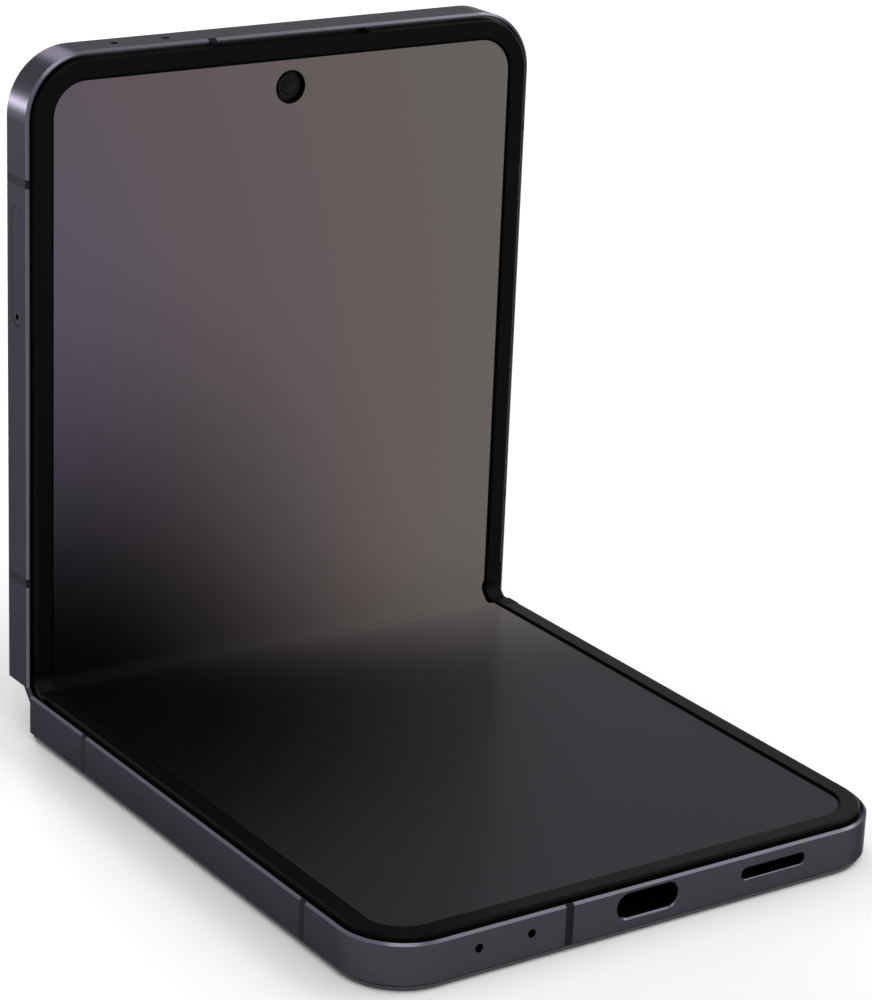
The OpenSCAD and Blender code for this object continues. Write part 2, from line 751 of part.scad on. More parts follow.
module disc_springs() color("silver") in_spine() both_sides() {
    room = bracket_x[0] - gear_w / 2 - 0.1;
    pairs = floor(room / disc_pitch);
    for (y = [gear_y[1], gear_y[2]], i = [0 : pairs - 1])
        translate([bracket_x[0] - (i + 1) * disc_pitch, y, -shaft_z]) rotate([0, 90, 0]) {
            disc();
            translate([0, 0, disc_pitch - 0.01]) mirror([0, 0, 1]) disc();
        }
}

// Bend of the display: each point turns about its own half's axis, from none at bend_l
// to the spine's whole angle at the fold line
function share(s) = let(t = min(1, max(0, 1 - s / bend_l))) t * t * (3 - 2 * t);
function bent(s, z) = let(
        a = (share(s) - 1) * fold,
        dy = axis_y - s,
        dz = z - axis_z
    ) [cos(a) * dy - sin(a) * dz - axis_y, sin(a) * dy + cos(a) * dz + axis_z];
bend_steps = 12;

// Strip of the bend between two heights; its top rises by a further amount at the fold line
module bent_strip(x0, x1, low, high, rise, reach) {
    near = [for (i = [0 : bend_steps]) reach * (1 - i / bend_steps)];
    far = [for (i = [1 : bend_steps]) reach * i / bend_steps];
    back = [for (i = [0 : bend_steps - 1]) reach * (1 - i / bend_steps)];
    home = [for (i = [0 : bend_steps]) reach * i / bend_steps];
    along_x(x0, x1) polygon(concat(
        [for (s = near) bent(s, high + rise * share(s))],
        [for (s = far) let(p = bent(s, high + rise * share(s))) [-p[0], p[1]]],
        [for (s = back) let(p = bent(s, low)) [-p[0], p[1]]],
        [for (s = home) bent(s, low)]
    ));
}

// The part of the display that bends
module display_fold() color(SCREEN) in_spine()
    bent_strip(disp_in - half_w, half_w - disp_in, -disp_t, 0, 0, bend_l - 0.02);

// Rubber guards over the display's border between the trims
module fold_guards() color(BLACK) in_spine() both_sides()
    bent_strip(half_w - trim_in - trim_w, half_w - relief_in - 0.05, guard_gap, guard_t, guard_rise,
        trim_end - 0.05);

// Upper half: ports, keys, card tray and cameras
module key_slot(len, s, grow) on_side(s, -key_z)
    pill_cut(len + 2 * grow, key_h + 2 * grow, -wall_t - 1, 1);

// Opening for the card tray: a recess for its face, a slot for its carrier and the eject hole
module tray_opening() mirror([1, 0, 0]) {
    on_side(tray_y, -key_z) pill_cut(tray_w + 0.16, tray_h + 0.16, -tray_face - 0.08, 1);
    translate([half_w - wall_t - 1, tray_low - 0.1, -key_z - tray_t / 2 - 0.1])
        cube([wall_t + 1, tray_board + 0.2, tray_t + 0.2]);
    on_side(eject_s, -key_z) translate([0, 0, -wall_t - 1]) cylinder(r = 2 * eject_r, h = wall_t);
}

module upper_frame() color(METAL) in_upper() difference() {
    frame_body(1, room_s + upper_cell_l + 0.6);
    key_slot(power_w, power_y, key_gap);
    key_slot(volume_w, volume_y, key_gap);
    tray_opening();
    for (x = [mic_x1, mic_x2]) on_end(-x, -port_z - 0.3)
        translate([0, 0, -wall_t - 1]) cylinder(r = mic_r, h = wall_t + 2);
    translate([0, half_l - punch_in, -mid_low - 1]) cylinder(r = front_cam_r + 0.3, h = 4);
    translate([-slot_half, half_l - trim_in - 0.3, -mid_top - 0.6]) cube([2 * slot_half, 0.6, 3]);
    translate([1 - ear_w / 2, half_l - wall_t - 2, -mid_low - 1]) cube([ear_w - 2, ear_t, mid_t + 2]);
}

module upper_bands() color([0.2, 0.2, 0.22]) in_upper() bands();

// Outer display glass over the whole back, with holes for the cameras and the flash
module cover_display() color([0.06, 0.06, 0.07]) in_upper() difference() {
    back_glass();
    for (x = cams) translate([x, half_l - cam_in, -half_t - 1]) cylinder(r = cam_hole, h = 3);
    translate([flash_x, half_l - cam_in, -half_t - 1]) cylinder(r = flash_r + 0.05, h = 3);
}

module upper_trim() color(BLACK) in_upper() difference() {
    trim_body();
    translate([-slot_half, half_l - trim_in - 0.25, -mid_top - 1]) cube([2 * slot_half, 1, 3]);
}

module upper_display() color(SCREEN) in_upper() difference() {
    display_flat();
    translate([0, half_l - punch_in, -1]) cylinder(r = punch_r, h = 2);
}

module upper_support_plate() color("silver") in_upper() difference() {
    support_plate();
    translate([0, half_l - punch_in, -2]) cylinder(r = front_cam_r + 0.3, h = 3);
}

module upper_battery() color("dimgray") in_upper() battery(upper_cell_l);

// Board beside the cell, cut away for the camera modules and the front camera
module main_board() color("darkgreen") in_upper() difference() {
    union() {
        translate([-half_w + corner_r, upper_board_s, shelf - board_t])
            cube([2 * (half_w - corner_r), board_end - upper_board_s, board_t]);
        for (i = [0 : 2], j = [0 : 1])
            translate([-12 + 12 * i, upper_board_s + 2 + 8 * j, shelf - board_t - 1.2])
                cube([9 - i, 6, 1.2]);
    }
    for (x = cams) translate([x - module_hw - 0.3, half_l - cam_in - module_hw - 0.3, -side_h])
        cube([2 * module_hw + 0.6, 2 * module_hw + 0.6, side_h]);
    translate([0, half_l - punch_in, -side_h]) cylinder(r = front_cam_r + 0.4, h = side_h);
    translate([flash_x, half_l - cam_in, -side_h]) cylinder(r = flash_r + 0.2, h = side_h);
    translate([-ear_w / 2 - 0.2, board_end - ear_t - 0.7, -side_h]) cube([ear_w + 0.4, 3, side_h]);
    translate([-half_w, tray_low - 0.4, -side_h])
        cube([wall_t + tray_depth + 1.4, tray_board + 0.8, side_h]);
    for (x = [mic_x1, mic_x2]) translate([-x - mic_w / 2 - 0.4, board_end - 1.6, -side_h])
        cube([mic_w + 0.8, 3, side_h]);
}

// Front camera behind the hole in the display
module front_camera() color("black") in_upper() translate([0, half_l - punch_in, 0]) {
    translate([0, 0, -side_h + 0.6]) cylinder(r = front_cam_r, h = side_h - 0.6 - disp_t - 0.05);
    translate([0, 0, -disp_t - 0.05]) cylinder(r = punch_r - 0.4, h = 0.2);
}

module earpiece() color("silver") in_upper()
    translate([-ear_w / 2, board_end - ear_t - 0.1, -mid_low - ear_t]) cube([ear_w, ear_t, ear_t]);

module upper_microphones() color("silver") in_upper() for (x = [mic_x1, mic_x2])
    translate([0, 0, -0.3]) microphone(-x);

// Rear camera modules between the mid plate and the camera glass
module camera_modules() color("dimgray") in_upper() for (x = cams)
    translate([x, half_l - cam_in, 0]) {
    translate([-module_hw, -module_hw, -side_h + 0.3])
        cube([2 * module_hw, 2 * module_hw, side_h - 0.3 + shelf]);
    translate([0, 0, -half_t + 0.2]) cylinder(r = barrel_r, h = glass_t + 0.2);
}

// Metal rings round the rear cameras, with a rounded outer edge
module camera_rings() color([0.2, 0.2, 0.22]) in_upper() for (x = cams)
    translate([x, half_l - cam_in, -half_t]) rotate_extrude($fn = 96) {
        b = 0.35;
        translate([cam_hole - 0.8, -cam_out + b]) square([cam_r - cam_hole + 0.8, cam_out - b]);
        translate([cam_hole - 0.8, -cam_out]) square([cam_r - cam_hole + 0.8 - b, cam_out]);
        translate([cam_r - b, -cam_out + b]) circle(b);
        translate([cam_hole - 0.8, -0.1]) square([0.75, glass_t + 0.1]);
    }

// Cover glass of each rear camera, just below its ring
module camera_lenses() color([0.08, 0.08, 0.1]) in_upper() for (x = cams)
    translate([x, half_l - cam_in, -half_t - cam_out + 0.25])
        cylinder(r = cam_hole - 0.82, h = 0.5, $fn = 96);

module flash_lens() color("ivory") in_upper()
    translate([flash_x, half_l - cam_in, -half_t + 0.05]) {
        cylinder(r = flash_r, h = glass_t - 0.05);
        translate([0, 0, glass_t - 0.05]) cylinder(r = flash_r - 0.4, h = 0.6);
    }

module upper_magnets() color("silver") in_upper() magnets();
module upper_rotators() color("silver") in_upper_frame() rotators(1);
module upper_rail() color("silver") in_upper_frame() rail();
module upper_hinge_screws() color("gray") in_upper() hinge_screws(1);

// A key: rounded cap, straight body in the slot and a flange that keeps it in
module key(len, s) on_side(s, -key_z) {
    c = 0.18;
    pill(len, key_h) polygon([
        [0, -wall_t - 0.1], [key_h / 2, -wall_t - 0.1], [key_h / 2, key_out - c],
        [key_h / 2 - c, key_out], [0, key_out]
    ]);
    translate([-len / 2 - 0.6, -key_h / 2 + 0.1, -wall_t - 0.65]) cube([len + 1.2, key_h - 0.2, 0.6]);
    translate([-0.9, -0.5, -wall_t - 0.95]) cube([1.8, 1, 0.4]);
}

module power_key() color(METAL) in_upper() key(power_w, power_y);
module volume_key() color(METAL) in_upper() key(volume_w, volume_y);

// Dome switches behind the keys on a narrow flexible board
module key_switches() color("darkgoldenrod") in_upper() {
    x = half_w - wall_t - 1.3 - key_travel;
    low = power_y - power_w / 2 + 2;
    translate([x - 0.3, low, -key_z - 1.1]) cube([0.3, volume_y + volume_w / 2 - 2 - low, 2.2]);
    for (s = [power_y, volume_y]) translate([x, s, -key_z]) rotate([0, 90, 0]) cylinder(r = 1, h = 0.22);
}

// Card tray: face flush with the frame, carrier with a card pocket and the eject hole
module card_tray() color(METAL) in_upper() mirror([1, 0, 0]) difference() {
    union() {
        on_side(tray_y, -key_z) pill_cut(tray_w, tray_h, -tray_face, -0.02);
        translate([half_w - tray_face - tray_depth, tray_low, -key_z - tray_t / 2])
            cube([tray_depth + 0.1, tray_board, tray_t]);
    }
    translate([half_w - wall_t - tray_depth + 2.6, tray_low + 1.6, -key_z - tray_t / 2 + 0.2])
        cube([12.4, 8.9, tray_t]);
    on_side(eject_s, -key_z) translate([0, 0, -tray_face - 1]) cylinder(r = eject_r, h = tray_face + 2);
}

lower_frame();
lower_bands();
lower_back_glass();
lower_trim();
lower_display();
lower_support_plate();
lower_battery();
charging_board();
charging_port();
loudspeaker();
lower_microphones();
vibration_motor();
lower_magnets();
lower_rotators();
lower_rail();
lower_hinge_screws();
spine_cover();
left_hinge_base();
right_hinge_base();
gear_bracket();
gear_shafts();
disc_springs();
display_fold();
fold_guards();
lower_timing_arm();
lower_idler();
upper_idler();
upper_timing_arm();
upper_frame();
upper_bands();
cover_display();
upper_trim();
upper_display();
upper_support_plate();
upper_battery();
main_board();
front_camera();
earpiece();
upper_microphones();
camera_modules();
camera_rings();
camera_lenses();
flash_lens();
upper_magnets();
upper_rotators();
upper_rail();
upper_hinge_screws();
key_switches();
power_key();
volume_key();
card_tray();
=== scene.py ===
import json
import math

import bpy
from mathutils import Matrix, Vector


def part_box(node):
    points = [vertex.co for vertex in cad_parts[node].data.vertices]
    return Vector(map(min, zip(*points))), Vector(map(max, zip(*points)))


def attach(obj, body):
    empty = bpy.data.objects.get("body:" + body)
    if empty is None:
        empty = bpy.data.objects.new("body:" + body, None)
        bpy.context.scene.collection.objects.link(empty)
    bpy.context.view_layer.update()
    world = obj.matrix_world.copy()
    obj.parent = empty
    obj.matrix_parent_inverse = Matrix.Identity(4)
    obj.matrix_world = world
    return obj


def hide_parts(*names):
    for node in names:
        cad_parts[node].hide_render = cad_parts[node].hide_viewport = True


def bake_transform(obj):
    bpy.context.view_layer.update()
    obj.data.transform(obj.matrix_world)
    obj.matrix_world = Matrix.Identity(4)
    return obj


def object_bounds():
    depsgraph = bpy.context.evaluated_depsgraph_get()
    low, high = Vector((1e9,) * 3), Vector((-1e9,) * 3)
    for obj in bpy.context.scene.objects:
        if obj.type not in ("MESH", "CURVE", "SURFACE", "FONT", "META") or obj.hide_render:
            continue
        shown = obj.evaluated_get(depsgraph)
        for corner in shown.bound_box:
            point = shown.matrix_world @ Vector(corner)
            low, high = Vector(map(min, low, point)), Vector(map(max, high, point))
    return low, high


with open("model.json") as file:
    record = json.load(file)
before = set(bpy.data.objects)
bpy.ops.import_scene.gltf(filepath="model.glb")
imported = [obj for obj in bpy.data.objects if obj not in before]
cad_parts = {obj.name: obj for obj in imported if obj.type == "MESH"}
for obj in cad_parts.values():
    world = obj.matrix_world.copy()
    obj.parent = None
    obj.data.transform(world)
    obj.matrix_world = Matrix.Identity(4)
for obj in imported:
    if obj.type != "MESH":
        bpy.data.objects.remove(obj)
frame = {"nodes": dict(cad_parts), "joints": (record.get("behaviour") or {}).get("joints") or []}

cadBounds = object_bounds()
mm = 0.001
nodes = frame["nodes"]


# Small helpers for materials and objects

def hexColour(code):
    # sRGB hex to the linear colour that shaders want
    channels = [int(code[i:i + 2], 16) / 255 for i in (1, 3, 5)]
    linear = [c / 12.92 if c <= 0.04045 else ((c + 0.055) / 1.055) ** 2.4 for c in channels]
    return (*linear, 1.0)


def addNode(tree, kind, inputs=None, stops=(), **settings):
    # Each input is a plain value or another node's output; stops are a ramp's positions from
    # low to high with their hex colours
    node = tree.nodes.new(kind)
    for name, value in settings.items():
        setattr(node, name, value)
    for name, value in (inputs or {}).items():
        if isinstance(value, bpy.types.NodeSocket):
            tree.links.new(value, node.inputs[name])
        else:
            node.inputs[name].default_value = value
    if stops:
        elements = node.color_ramp.elements
        while len(elements) < len(stops):
            elements.new(0.5)
        for element, (position, code) in zip(elements, stops):
            element.position = position
            element.color = hexColour(code)
    return node


def newMaterial(name, **values):
    # values are sockets of the shader, with _ for a space and colours as sRGB hex
    material = bpy.data.materials.new(name)
    material.use_nodes = True
    tree = material.node_tree
    shader = tree.nodes["Principled BSDF"]
    for socket, value in values.items():
        if isinstance(value, str):
            value = hexColour(value)
        shader.inputs[socket.replace("_", " ")].default_value = value
    return material, tree, shader


def addObject(name, data):
    item = bpy.data.objects.new(name, data)
    bpy.context.scene.collection.objects.link(item)
    return item


grainLook = {
    "low": 0.3,        # noise runs from the first colour at low to the second at high
    "high": 0.7,
    "detail": 3.0,     # octaves of the noise
    "bump": 0.6,
}


def grain(tree, shader, size, depth, colours, roughness, detail=grainLook["detail"]):
    # Fine surface grain: size and depth in mm, and both ends of its colours and its roughness
    look = grainLook
    place = addNode(tree, "ShaderNodeTexCoord")
    noise = addNode(tree, "ShaderNodeTexNoise", {"Vector": place.outputs["Object"],
                                                 "Scale": 1 / (size * mm), "Detail": detail})
    tint = addNode(tree, "ShaderNodeValToRGB", {"Fac": noise.outputs["Fac"]},
                   [(look["low"], colours[0]), (look["high"], colours[1])])
    polish = addNode(tree, "ShaderNodeMapRange", {"Value": noise.outputs["Fac"],
                                                  "From Min": look["low"], "From Max": look["high"],
                                                  "To Min": roughness[0], "To Max": roughness[1]})
    bump = addNode(tree, "ShaderNodeBump", {"Height": noise.outputs["Fac"],
                                            "Strength": look["bump"], "Distance": depth * mm})
    tree.links.new(tint.outputs["Color"], shader.inputs["Base Color"])
    tree.links.new(polish.outputs["Result"], shader.inputs["Roughness"])
    tree.links.new(bump.outputs["Normal"], shader.inputs["Normal"])


def dress(material, *names):
    for name in names:
        for slot in nodes[name].material_slots:
            slot.material = material


def plainSurface(name, look):
    # A material that needs no more than its grain: everything comes from its dictionary
    material, tree, shader = newMaterial(name, **look.get("surface", {}))
    grain(tree, shader, look["size"], look["depth"], look["colours"], look["roughness"],
          look.get("detail", grainLook["detail"]))
    dress(material, *look.get("parts", ()))
    return material


# Camera, matched to the photograph: place in mm, turn in degrees

cameraSetup = {
    "place": (-220.95, -318.10, 177.72),
    "turn": (70.2535, -2.2435, -33.8286),
    "lens": 137.52,       # mm, on a sensor of the width below
    "sensor": 36.0,
    "nearest": 0.01,      # metres
}

cameraData = bpy.data.cameras.new("photoCamera")
cameraData.sensor_fit = "HORIZONTAL"
cameraData.sensor_width = cameraSetup["sensor"]
cameraData.lens = cameraSetup["lens"]
cameraData.clip_start = cameraSetup["nearest"]
camera = addObject("photoCamera", cameraData)
camera.location = [c * mm for c in cameraSetup["place"]]
camera.rotation_euler = [math.radians(a) for a in cameraSetup["turn"]]
bpy.context.scene.camera = camera
print("camera ready")


# Metal: frames, spine cover, keys and card tray

metalLook = {
    "colours": ("#413f46", "#46444b"),
    "roughness": (0.26, 0.32),
    "beadSize": 0.12,     # mm, about twice as coarse as the real blasting so that it shows
    "beadDepth": 0.002,
    "edgeTint": "#aeadaf",  # the dye keeps the sides dark at a flat angle too
    # painted highlight: the lighter base colour of the long chamfers
    "chamfer": "#5a5862",
    "chamferRoughness": 0.24,
    "chamferFrom": 0.45,  # a face's lean from the side, as the cosine to the half's own normal
    "chamferTo": 0.6,
    "faceFrom": 0.85,
    "faceTo": 0.97,
}


def anodisedMetal(name, normal, *parts):
    # Anodised aluminium, bead blasted: a dark dyed skin with a soft, slightly grainy sheen.
    # The long chamfers are cut after blasting, so they are smoother than the sides; their lighter
    # base colour is a painted highlight.
    # normal is the way that the half's display faces, or None for a part without chamfers.
    look = metalLook
    material, tree, shader = newMaterial(name, Metallic=1.0, Specular_Tint=look["edgeTint"])
    grain(tree, shader, look["beadSize"], look["beadDepth"], look["colours"], look["roughness"])
    if normal:
        place = addNode(tree, "ShaderNodeTexCoord")
        lean = addNode(tree, "ShaderNodeVectorMath", {0: place.outputs["Normal"], 1: normal},
                       operation="DOT_PRODUCT")
        leaning = addNode(tree, "ShaderNodeMath", {0: lean.outputs["Value"]}, operation="ABSOLUTE")
        offSide = addNode(tree, "ShaderNodeMapRange", {"Value": leaning.outputs[0],
                                                       "From Min": look["chamferFrom"],
                                                       "From Max": look["chamferTo"]})
        offFace = addNode(tree, "ShaderNodeMapRange", {"Value": leaning.outputs[0],
                                                       "From Min": look["faceTo"],
                                                       "From Max": look["faceFrom"]})
        cut = addNode(tree, "ShaderNodeMath", {0: offSide.outputs[0], 1: offFace.outputs[0]},
                      operation="MULTIPLY")
        colour = shader.inputs["Base Color"].links[0].from_socket
        rough = shader.inputs["Roughness"].links[0].from_socket
        # Painted highlight: the chamfers take a lighter base colour than the sides
        paintedHighlight = addNode(tree, "ShaderNodeMix", {0: cut.outputs[0], 6: colour,
                                                 7: hexColour(look["chamfer"])},
                         data_type="RGBA")
        polished = addNode(tree, "ShaderNodeMix", {0: cut.outputs[0], 2: rough,
                                                   3: look["chamferRoughness"]})
        tree.links.new(paintedHighlight.outputs[2], shader.inputs["Base Color"])
        tree.links.new(polished.outputs[0], shader.inputs["Roughness"])
    dress(material, *parts)


anodisedMetal("anodisedLowerHalf", (0, 0, 1), "lower_frame")
anodisedMetal("anodisedUpperHalf", (0, 1, 0), "upper_frame")
anodisedMetal("anodisedAluminium", None, "spine_cover", "power_key", "volume_key", "card_tray")

bandLook = {
    "surface": {"Specular_IOR_Level": 0.03},
    "size": 0.15,     # mm
    "depth": 0.003,
    "colours": ("#1a191d", "#1f1e23"),
    "roughness": (0.42, 0.5),
    "parts": ("lower_bands", "upper_bands"),
}

# Glass filled nylon in the antenna gaps: dyed to match, but duller and a little darker than
# the metal
plainSurface("glassFilledNylon", bandLook)


# Glass: satin back, polished cover display, camera windows

backGlassLook = {
    "surface": {"Coat_Weight": 0.2, "Coat_Roughness": 0.35},
    "size": 0.2,      # mm
    "depth": 0.002,
    "colours": ("#2b2a31", "#2f2e35"),
    "roughness": (0.36, 0.44),
    "parts": ("lower_back_glass",),
}

coverGlassLook = {
    "surface": {"Coat_Weight": 0.25, "Coat_Roughness": 0.03, "Specular_IOR_Level": 0.1},
    "size": 40,       # mm, a faint unevenness of the polish
    "depth": 0.0,
    "detail": 1.0,
    "colours": ("#060607", "#08080a"),
    "roughness": (0.06, 0.09),
    "parts": ("cover_display",),
}

# Etched back glass: the frost hides the pattern under it and leaves a soft sheen
plainSurface("etchedBackGlass", backGlassLook)

# Polished cover glass over a dark panel: near black, with sharp reflections that its coating
# keeps weak
plainSurface("polishedCoverGlass", coverGlassLook)

windowLook = {
    "surface": {"Roughness": 0.08, "Coat_Weight": 0.3, "Coat_Roughness": 0.02,
                "Coat_Tint": "#cfc8ff", "Specular_IOR_Level": 0.1},
    # shares of the window's radius
    "rings": [(0.0, "#1c1a33"), (0.22, "#0b0a14"), (0.3, "#050506"), (0.42, "#141417"),
              (0.46, "#060607"), (0.6, "#1a1a1e"), (0.64, "#070708"), (0.86, "#0c0c0e"),
              (0.9, "#030303")],
}

# Coated lens glass over a stepped black barrel: dark rings and a violet pupil, which give it depth
lensGlass, tree, shader = newMaterial("coatedLensGlass", **windowLook["surface"])
windowLow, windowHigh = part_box("camera_lenses")
windowRadius = (windowHigh.z - windowLow.z) / 2
place = addNode(tree, "ShaderNodeTexCoord")
nearest = None
for x in (windowLow.x + windowRadius, windowHigh.x - windowRadius):
    centre = (x, windowHigh.y, windowLow.z + windowRadius)
    away = addNode(tree, "ShaderNodeVectorMath", {0: place.outputs["Object"], 1: centre},
                   operation="DISTANCE").outputs["Value"]
    nearest = addNode(tree, "ShaderNodeMath", {0: nearest, 1: away},
                      operation="MINIMUM").outputs[0] if nearest else away
share = addNode(tree, "ShaderNodeMath", {0: nearest, 1: windowRadius}, operation="DIVIDE")
windowRings = addNode(tree, "ShaderNodeValToRGB", {"Fac": share.outputs[0]}, windowLook["rings"])
tree.links.new(windowRings.outputs["Color"], shader.inputs["Base Color"])
dress(lensGlass, "camera_lenses")


# Trim and guards: black polymer and rubber over the display's border

trimLook = {
    "surface": {"Specular_IOR_Level": 0.022},
    "size": 0.18,     # mm
    "depth": 0.002,
    "colours": ("#090909", "#0d0d0d"),
    "roughness": (0.28, 0.34),
    "parts": ("lower_trim", "upper_trim"),
}

rubberLook = {
    "surface": {"Specular_IOR_Level": 0.05},
    "size": 0.25,     # mm
    "depth": 0.005,
    "colours": ("#040404", "#060606"),
    "roughness": (0.55, 0.65),
}

# Satin moulded polymer: deep black with a dull highlight along its edges
plainSurface("satinTrimPolymer", trimLook)

# Soft rubber, darker and duller than the trim; the guards' strips take it where they are made
foldRubber = plainSurface("softFoldRubber", rubberLook)


# Display: glossy film over a lit panel with a plain gradient of soft arcs

displayLook = {
    "across": 75.2,        # mm, width of the body
    "halfLength": 83.35,   # mm, length of each half
    "edge": 1.35,          # mm from the side of the body to the display's own edge
    "border": 3.62,        # mm from the side of the body to the lit area
    "cornerRadius": 4.5,   # mm, of the lit area
    "ringRadius": 2.2,     # mm, black print round the front camera
    "bend": 2.6,           # mm of display beside the fold that bends, on each half
    "thickness": 0.6,
    "glow": 1.0,
    "film": "#040404",
    "print": "#000000",
    "polish": 0.25,
    "glare": 0.012,        # specular level of an anti-reflective film
    "arcCentre": (-110.0, 30.0),   # mm on the open display, from the middle of the fold
    "arcReach": (70.0, 150.0),     # mm, the radius at which the arcs' colours start and end
    "upperArc": [(0.0, "#565060"), (0.35, "#5d555a"), (0.7, "#645c5a"), (1.0, "#64605d")],
    "lowerArc": [(0.0, "#0d0d0d"), (0.4, "#181718"), (0.75, "#29272a"), (1.0, "#312e33")],
    "meet": (-24.0, 26.0),         # mm along the display, from the lower colours to the upper
    "slant": 0.3,                  # of the line where they meet
    "poolCentre": (-36.0, -4.0),
    "poolReach": (6.0, 66.0),
    "poolShade": "#050505",
}

lowerLow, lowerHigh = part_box("lower_display")
upperLow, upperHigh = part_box("upper_display")
bend = displayLook["bend"] * mm
foldY = lowerHigh.y + bend         # fold line of the lower half
lowerFaceZ = lowerHigh.z
upperFaceY = upperLow.y            # display face of the upper half
upperFoldZ = upperLow.z - bend
middleX = (lowerLow.x + lowerHigh.x) / 2
cameraLow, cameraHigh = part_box("front_camera")
cameraCentre = Vector(((cameraLow.x + cameraHigh.x) / 2, cameraLow.y,
                       (cameraLow.z + cameraHigh.z) / 2))


def paintDisplay(tree, shader, sheet):
    # sheet is the place on the open display in mm, from the middle of the fold
    look = displayLook
    radius = look["cornerRadius"]
    halfX = look["across"] / 2 - look["border"] - radius
    halfY = look["halfLength"] - look["border"] - radius
    # Lit area with round corners
    folded = addNode(tree, "ShaderNodeVectorMath", {0: sheet}, operation="ABSOLUTE")
    past = addNode(tree, "ShaderNodeVectorMath", {0: folded.outputs[0], 1: (halfX, halfY, 0)},
                   operation="SUBTRACT")
    corner = addNode(tree, "ShaderNodeVectorMath", {0: past.outputs[0]}, operation="MAXIMUM")
    reach = addNode(tree, "ShaderNodeVectorMath", {0: corner.outputs[0]}, operation="LENGTH")
    inside = addNode(tree, "ShaderNodeMath", {0: reach.outputs["Value"], 1: radius},
                     operation="LESS_THAN")
    # The black print round the front camera stays dark
    ringCentre = ((cameraCentre.x - middleX) / mm, (cameraCentre.z - upperFoldZ) / mm, 0)
    away = addNode(tree, "ShaderNodeVectorMath", {0: sheet, 1: ringCentre}, operation="DISTANCE")
    outside = addNode(tree, "ShaderNodeMath", {0: away.outputs["Value"], 1: look["ringRadius"]},
                      operation="GREATER_THAN")
    lit = addNode(tree, "ShaderNodeMath", {0: inside.outputs[0], 1: outside.outputs[0]},
                  operation="MULTIPLY")
    # Broad arcs of colour round a point off the display, one set of colours for each half
    distance = addNode(tree, "ShaderNodeVectorMath", {0: sheet, 1: (*look["arcCentre"], 0)},
                       operation="DISTANCE")
    tone = addNode(tree, "ShaderNodeMapRange", {"Value": distance.outputs["Value"],
                                                "From Min": look["arcReach"][0],
                                                "From Max": look["arcReach"][1]})
    upper = addNode(tree, "ShaderNodeValToRGB", {"Fac": tone.outputs["Result"]}, look["upperArc"])
    lower = addNode(tree, "ShaderNodeValToRGB", {"Fac": tone.outputs["Result"]}, look["lowerArc"])
    along = addNode(tree, "ShaderNodeVectorMath", {0: sheet, 1: (look["slant"], 1, 0)},
                    operation="DOT_PRODUCT")
    turn = addNode(tree, "ShaderNodeMapRange", {"Value": along.outputs["Value"],
                                                "From Min": look["meet"][0],
                                                "From Max": look["meet"][1]},
                   interpolation_type="SMOOTHERSTEP")
    both = addNode(tree, "ShaderNodeMix", {0: turn.outputs["Result"], 6: lower.outputs["Color"],
                                           7: upper.outputs["Color"]}, data_type="RGBA")
    # A round pool of shade at one end of the fold
    poolDistance = addNode(tree, "ShaderNodeVectorMath", {0: sheet, 1: (*look["poolCentre"], 0)},
                           operation="DISTANCE")
    clear = addNode(tree, "ShaderNodeMapRange", {"Value": poolDistance.outputs["Value"],
                                                 "From Min": look["poolReach"][0],
                                                 "From Max": look["poolReach"][1]},
                    interpolation_type="SMOOTHSTEP")
    art = addNode(tree, "ShaderNodeMix", {0: clear.outputs["Result"],
                                          6: hexColour(look["poolShade"]), 7: both.outputs[2]},
                  data_type="RGBA")
    shown = addNode(tree, "ShaderNodeMix", {0: lit.outputs[0], 6: hexColour(look["print"]),
                                            7: art.outputs[2]}, data_type="RGBA")
    tree.links.new(shown.outputs[2], shader.inputs["Emission Color"])
    shader.inputs["Emission Strength"].default_value = look["glow"]
    shader.inputs["Base Color"].default_value = hexColour(look["film"])
    shader.inputs["Roughness"].default_value = look["polish"]
    shader.inputs["Specular IOR Level"].default_value = look["glare"]


# Anti-reflective film over a panel that gives its own light: deep black where dark, with
# little glare
litLower, tree, shader = newMaterial("litDisplayLower")
place = addNode(tree, "ShaderNodeTexCoord")
sheet = addNode(tree, "ShaderNodeMapping", {"Vector": place.outputs["Object"],
                                            "Scale": (1 / mm, 1 / mm, 0),
                                            "Location": (-middleX / mm, -foldY / mm, 0)})
paintDisplay(tree, shader, sheet.outputs["Vector"])
dress(litLower, "lower_display")

litUpper, tree, shader = newMaterial("litDisplayUpper")
place = addNode(tree, "ShaderNodeTexCoord")
sheet = addNode(tree, "ShaderNodeMapping", {"Vector": place.outputs["Object"],
                                            "Scale": (1 / mm, 0, 1 / mm),
                                            "Rotation": (math.radians(-90), 0, 0),
                                            "Location": (-middleX / mm, -upperFoldZ / mm, 0)})
paintDisplay(tree, shader, sheet.outputs["Vector"])
dress(litUpper, "upper_display")

litFold, tree, shader = newMaterial("litDisplayFold")
place = addNode(tree, "ShaderNodeUVMap", uv_map="sheet")
paintDisplay(tree, shader, place.outputs["UV"])


# The bend of the display and its guards, as strips shaped between both halves at rest

stripLook = {
    "restTurn": 45,        # degrees that each half turns between flat and rest
    "steps": 60,           # to settle each point of the bend
    "rows": 40,            # along the bend
    "sharpFrom": 35,       # degrees between two faces
}

# Both in mm: low, high and a further rise at the fold line are above the display's face
bendLook = {
    "low": -displayLook["thickness"],
    "high": 0.0,
    "rise": 0.0,
    "reach": displayLook["bend"],
    "columns": 24,
}

guardLook = {
    "inner": 34.35,        # from the middle
    "outer": 36.7,
    "low": 0.02,           # clear of the display
    "high": 0.25,
    "rise": 0.35,
    "reach": 4.55,
    "columns": 4,
}

joints = {joint["name"]: joint for joint in frame["joints"]}
lowerAxis = Vector(joints["fold_lower"]["pos_m"])
upperAxis = Vector(joints["fold_upper"]["pos_m"])
restTurn = math.radians(stripLook["restTurn"])


def eased(t):
    # From 0 to 1 with a gentle start and end
    return t * t * (3 - 2 * t)


